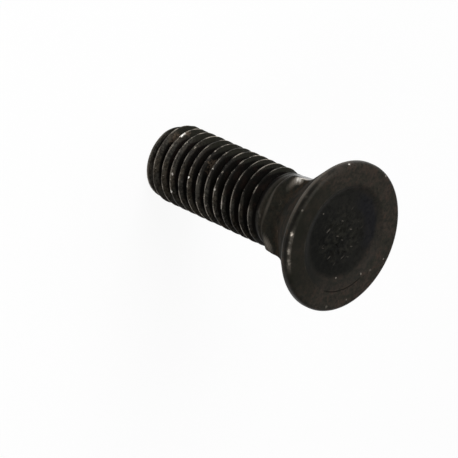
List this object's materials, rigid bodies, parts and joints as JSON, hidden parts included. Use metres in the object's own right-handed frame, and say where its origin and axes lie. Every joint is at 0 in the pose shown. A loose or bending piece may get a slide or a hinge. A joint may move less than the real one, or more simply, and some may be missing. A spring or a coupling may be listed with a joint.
{
  "type": "plow bolt",
  "caption": "Forged steel plow bolt: round countersunk head with a shallow sunk face, square neck that stops it from turning, and a coarse right-hand thread. Black finish.",
  "frame": {"origin": "centre of the flat threaded end, on the bolt's axis", "axes": "+Z along the bolt's axis from the threaded end to the head, +X and +Y square to the flats of the neck"},
  "size_m": [0.0238, 0.0238, 0.0381],
  "materials": {
    "black_steel": "black oxide with a light oil, matt brownish black on the head, worn bright along the thread crests and the neck's corners"
  },
  "bodies": {
    "root": {"bolt": "black_steel"}
  },
  "joints": []
}
